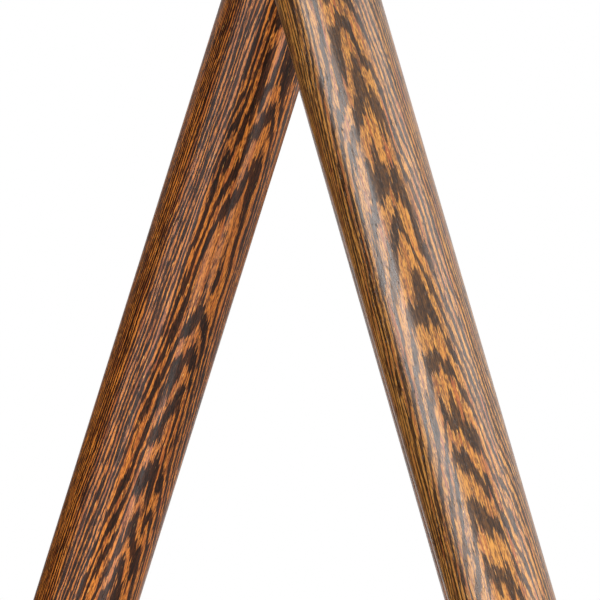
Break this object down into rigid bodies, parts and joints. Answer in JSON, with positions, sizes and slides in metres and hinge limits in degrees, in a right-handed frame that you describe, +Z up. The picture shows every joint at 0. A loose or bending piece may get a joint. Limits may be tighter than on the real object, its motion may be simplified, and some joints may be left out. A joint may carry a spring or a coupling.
{
  "type": "camera field tripod",
  "caption": "Standing wooden camera tripod with round dark hardwood legs that fold flat and extend, brass clamps and shoes, and a pan and tilt head with a round platform.",
  "frame": {"origin": "on the axis of the camera screw, in the plane of the leather pad that the camera sits on", "axes": "+Z up along the camera screw, -X the way the middle leg leans, Y along the row of leg hinges, -Y to the front leg"},
  "size_m": [0.4239, 0.5616, 0.8043],
  "materials": {
    "wood": "oiled wenge, glossy",
    "brass": "lacquered, slightly aged",
    "steel": "turned, satin",
    "leather": "smooth, matt"
  },
  "bodies": {
    "head": {"head_casting": "brass", "hinge_nuts": "steel", "pan_bolt": "steel", "pan_nut": "steel", "left_hinge_bolt": "steel", "front_hinge_bolt": "steel", "rear_hinge_bolt": "steel"},
    "left_leg": {"left_leg_wood": "wood", "left_hinge_bush": "brass", "left_clamp_collar": "brass", "left_collar_pins": "brass"},
    "left_clamp": {"left_clamp_screw": "brass"},
    "left_extension": {"left_extension_rod": "wood", "left_stop_bush": "brass", "left_foot_shoe": "brass", "left_foot_spike": "steel"},
    "front_leg": {"front_leg_wood": "wood", "front_hinge_bush": "brass", "front_clamp_collar": "brass", "front_collar_pins": "brass"},
    "front_clamp": {"front_clamp_screw": "brass"},
    "front_extension": {"front_extension_rod": "wood", "front_stop_bush": "brass", "front_foot_shoe": "brass", "front_foot_spike": "steel"},
    "rear_leg": {"rear_leg_wood": "wood", "rear_hinge_bush": "brass", "rear_clamp_collar": "brass", "rear_collar_pins": "brass"},
    "rear_clamp": {"rear_clamp_screw": "brass"},
    "rear_extension": {"rear_extension_rod": "wood", "rear_stop_bush": "brass", "rear_foot_shoe": "brass", "rear_foot_spike": "steel"},
    "turntable": {"turntable": "brass", "tilt_yoke": "brass", "yoke_screws": "steel", "tilt_pivot_screw": "steel"},
    "pan_lock": {"pan_lock_screw": "brass"},
    "tilt_lock": {"tilt_lock_screw": "brass"},
    "platform": {"platform_underplate": "brass", "underplate_screws": "steel", "platform_board": "wood", "platform_pad": "leather"},
    "camera_screw": {"camera_screw": "steel", "camera_screw_wheel": "brass", "camera_screw_clip": "steel"}
  },
  "joints": [
    {"name": "left_leg_fold", "type": "hinge", "parent": "head", "child": "left_leg", "pos_m": [0.005, 0, -0.11053], "axis": [0, -1, 0], "range_deg": [0, 22]},
    {"name": "left_extension_slide", "type": "slide", "parent": "left_leg", "child": "left_extension", "axis": [-0.3746, 0, -0.9272], "range_m": [0, 0.498]},
    {"name": "left_clamp_turn", "type": "hinge", "parent": "left_leg", "child": "left_clamp", "pos_m": [-0.25724, 0, -0.71101], "axis": [0, -1, 0], "range_deg": [0, 270]},
    {"name": "front_leg_fold", "type": "hinge", "parent": "head", "child": "front_leg", "pos_m": [-0.005, -0.036, -0.11053], "axis": [0.866, 0.5, 0], "range_deg": [0, 22]},
    {"name": "front_extension_slide", "type": "slide", "parent": "front_leg", "child": "front_extension", "axis": [0.1873, -0.3244, -0.9272], "range_m": [0, 0.498]},
    {"name": "front_clamp_turn", "type": "hinge", "parent": "front_leg", "child": "front_clamp", "pos_m": [0.12612, -0.26311, -0.71101], "axis": [0.866, 0.5, 0], "range_deg": [0, 270]},
    {"name": "rear_leg_fold", "type": "hinge", "parent": "head", "child": "rear_leg", "pos_m": [-0.005, 0.036, -0.11053], "axis": [-0.866, 0.5, 0], "range_deg": [0, 22]},
    {"name": "rear_extension_slide", "type": "slide", "parent": "rear_leg", "child": "rear_extension", "axis": [0.1873, 0.3244, -0.9272], "range_m": [0, 0.498]},
    {"name": "rear_clamp_turn", "type": "hinge", "parent": "rear_leg", "child": "rear_clamp", "pos_m": [0.12612, 0.26311, -0.71101], "axis": [-0.866, 0.5, 0], "range_deg": [0, 270]},
    {"name": "pan", "type": "hinge", "parent": "head", "child": "turntable", "pos_m": [0, 0, -0.071], "axis": [0, 0, 1], "continuous": true},
    {"name": "pan_lock_turn", "type": "hinge", "parent": "turntable", "child": "pan_lock", "pos_m": [0.03, 0, -0.0749], "axis": [1, 0, 0], "range_deg": [0, 270]},
    {"name": "tilt", "type": "hinge", "parent": "turntable", "child": "platform", "pos_m": [0, 0, -0.0299], "axis": [0, 1, 0], "range_deg": [-30, 30]},
    {"name": "tilt_lock_turn", "type": "hinge", "parent": "turntable", "child": "tilt_lock", "pos_m": [0, -0.03, -0.0299], "axis": [0, -1, 0], "range_deg": [0, 270]},
    {"name": "camera_screw_turn", "type": "hinge", "parent": "platform", "child": "camera_screw", "pos_m": [0, 0, 0], "axis": [0, 0, 1], "continuous": true}
  ]
}
